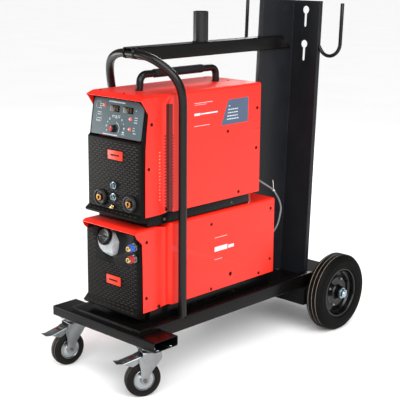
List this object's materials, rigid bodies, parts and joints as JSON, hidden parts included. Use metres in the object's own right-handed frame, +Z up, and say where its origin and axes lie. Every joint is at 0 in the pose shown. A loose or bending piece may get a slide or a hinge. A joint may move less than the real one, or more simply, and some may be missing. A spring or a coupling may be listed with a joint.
{
  "type": "tig welder",
  "caption": "Wheeled TIG welding set: power source stacked on a water cooler, on a trolley with bottle platform, column, boom arm, push handle and torch hooks.",
  "frame": {"origin": "on the floor under the middle of the whole length and width", "axes": "+Z up, front with the control panel towards -Y, +X to the right side seen from the front"},
  "size_m": [0.524, 1.1184, 1.1133],
  "materials": {
    "trolley_paint": "satin black powder coat",
    "case_red": "semi-gloss orange-red powder coat",
    "panel_paint": "satin black",
    "zinc": "bright zinc plating",
    "tyre": "black rubber with thin mould lines",
    "caster_rubber": "grooved black rubber",
    "bezel_black": "moulded, finely textured",
    "panel_grey": "blue-grey printed foil",
    "display_dark": "smoked window",
    "button_red": "red moulded",
    "brass": "machined",
    "grip_rubber": "matt foam rubber",
    "aluminium": "mill finish",
    "winding": "varnished copper winding",
    "tank_white": "translucent natural plastic",
    "sleeve_blue": "blue anodised look",
    "sleeve_red": "red anodised look",
    "cable_grey": "grey cable jacket"
  },
  "bodies": {
    "machine": {"front_cross_beam": "trolley_paint", "side_rail_left": "trolley_paint", "side_rail_right": "trolley_paint", "floor_plate": "trolley_paint", "bottle_platform": "trolley_paint", "column": "trolley_paint", "boom_arm": "trolley_paint", "push_handle": "trolley_paint", "boom_socket": "trolley_paint", "torch_hook_left": "trolley_paint", "torch_hook_right": "trolley_paint", "rear_axle": "zinc", "caster_plate_left": "zinc", "caster_plate_right": "zinc", "source_cover": "case_red", "cooler_cover": "case_red", "source_chassis": "trolley_paint", "cooler_chassis": "trolley_paint", "source_front_bezel": "bezel_black", "cooler_front_bezel": "bezel_black", "source_rear_panel": "panel_paint", "cooler_rear_panel": "panel_paint", "control_panel": "panel_grey", "display_window": "display_dark", "torch_power_socket": "brass", "earth_power_socket": "brass", "torch_trigger_socket": "zinc", "foot_pedal_socket": "zinc", "gas_outlet": "brass", "carry_handle": "trolley_paint", "handle_grip": "grip_rubber", "power_heatsink": "aluminium", "coolant_radiator": "aluminium", "output_transformer": "winding", "coolant_tank": "tank_white", "coupler_blue": "brass", "coupler_red": "brass", "coolant_pump": "zinc", "link_cable": "cable_grey"},
    "rear_wheel_right": {"rear_tyre_right": "tyre", "rear_rim_right": "trolley_paint"},
    "rear_wheel_left": {"rear_tyre_left": "tyre", "rear_rim_left": "trolley_paint"},
    "caster_right": {"caster_fork_right": "zinc"},
    "caster_left": {"caster_fork_left": "zinc"},
    "caster_roller_right": {"caster_wheel_right": "caster_rubber"},
    "caster_roller_left": {"caster_wheel_left": "caster_rubber"},
    "brake_right": {"brake_pedal_right": "zinc"},
    "brake_left": {"brake_pedal_left": "zinc"},
    "knob": {"control_knob": "bezel_black"},
    "button_mode": {"mode_button": "button_red"},
    "button_pulse": {"pulse_button": "button_red"},
    "button_gas_test": {"gas_test_button": "button_red"},
    "switch": {"main_switch": "bezel_black"},
    "fan_source": {"source_fan": "bezel_black"},
    "fan_cooler": {"cooler_fan": "bezel_black"},
    "cap_thread": {"cap_seal": "grip_rubber"},
    "cap": {"filler_cap": "bezel_black"},
    "sleeve_blue": {"coupler_sleeve_blue": "sleeve_blue"},
    "sleeve_red": {"coupler_sleeve_red": "sleeve_red"}
  },
  "joints": [
    {"name": "rear_wheel_right_roll", "type": "hinge", "parent": "machine", "child": "rear_wheel_right", "pos_m": [0.2189, 0.371, 0.131], "axis": [1, 0, 0], "continuous": true},
    {"name": "rear_wheel_left_roll", "type": "hinge", "parent": "machine", "child": "rear_wheel_left", "pos_m": [-0.2189, 0.371, 0.131], "axis": [1, 0, 0], "continuous": true},
    {"name": "caster_right_swivel", "type": "hinge", "parent": "machine", "child": "caster_right", "pos_m": [0.173, -0.4583, 0.14], "axis": [0, 0, 1], "continuous": true},
    {"name": "caster_left_swivel", "type": "hinge", "parent": "machine", "child": "caster_left", "pos_m": [-0.173, -0.4583, 0.14], "axis": [0, 0, 1], "continuous": true},
    {"name": "caster_right_roll", "type": "hinge", "parent": "caster_right", "child": "caster_roller_right", "pos_m": [0.16362, -0.48039, 0.054], "axis": [0.9205, -0.3907, 0], "continuous": true},
    {"name": "caster_left_roll", "type": "hinge", "parent": "caster_left", "child": "caster_roller_left", "pos_m": [-0.17634, -0.48207, 0.054], "axis": [0.9903, -0.1392, 0], "continuous": true},
    {"name": "brake_right_press", "type": "hinge", "parent": "caster_right", "child": "brake_right", "pos_m": [0.15815, -0.49328, 0.1205], "axis": [0.9205, -0.3907, 0], "range_deg": [0, 15]},
    {"name": "brake_left_press", "type": "hinge", "parent": "caster_left", "child": "brake_left", "pos_m": [-0.17829, -0.49593, 0.1205], "axis": [0.9903, -0.1392, 0], "range_deg": [0, 15]},
    {"name": "knob_turn", "type": "hinge", "parent": "machine", "child": "knob", "pos_m": [-0.006, -0.42604, 0.75973], "axis": [0, -0.9871, 0.1599], "continuous": true},
    {"name": "mode_button_press", "type": "slide", "parent": "machine", "child": "button_mode", "axis": [0, 0.9871, -0.1599], "range_m": [0, 0.001], "stiffness_N_per_m": 600},
    {"name": "pulse_button_press", "type": "slide", "parent": "machine", "child": "button_pulse", "axis": [0, 0.9871, -0.1599], "range_m": [0, 0.001], "stiffness_N_per_m": 600},
    {"name": "gas_test_button_press", "type": "slide", "parent": "machine", "child": "button_gas_test", "axis": [0, 0.9871, -0.1599], "range_m": [0, 0.001], "stiffness_N_per_m": 600},
    {"name": "main_switch_turn", "type": "hinge", "parent": "machine", "child": "switch", "pos_m": [-0.06, 0.0765, 0.805], "axis": [0, 1, 0], "range_deg": [0, 90]},
    {"name": "source_fan_spin", "type": "hinge", "parent": "machine", "child": "fan_source", "pos_m": [0, 0.0547, 0.7], "axis": [0, 1, 0], "continuous": true},
    {"name": "cooler_fan_spin", "type": "hinge", "parent": "machine", "child": "fan_cooler", "pos_m": [0, 0.1412, 0.34], "axis": [0, 1, 0], "continuous": true},
    {"name": "cap_turn", "type": "hinge", "parent": "machine", "child": "cap_thread", "pos_m": [-0.018, -0.4513, 0.436], "axis": [0, -0.9063, 0.4226], "range_deg": [0, 540]},
    {"name": "cap_lift", "type": "slide", "parent": "cap_thread", "child": "cap", "axis": [0, -0.9063, 0.4226], "range_m": [0, 0.0091]},
    {"name": "blue_sleeve_pull", "type": "slide", "parent": "machine", "child": "sleeve_blue", "axis": [0, 1, 0], "range_m": [0, 0.0045], "stiffness_N_per_m": 300},
    {"name": "red_sleeve_pull", "type": "slide", "parent": "machine", "child": "sleeve_red", "axis": [0, 1, 0], "range_m": [0, 0.0045], "stiffness_N_per_m": 300}
  ],
  "couplings": [
    {"joint": "cap_lift", "follows": "cap_turn", "m_per_rad": 0.000955}
  ]
}
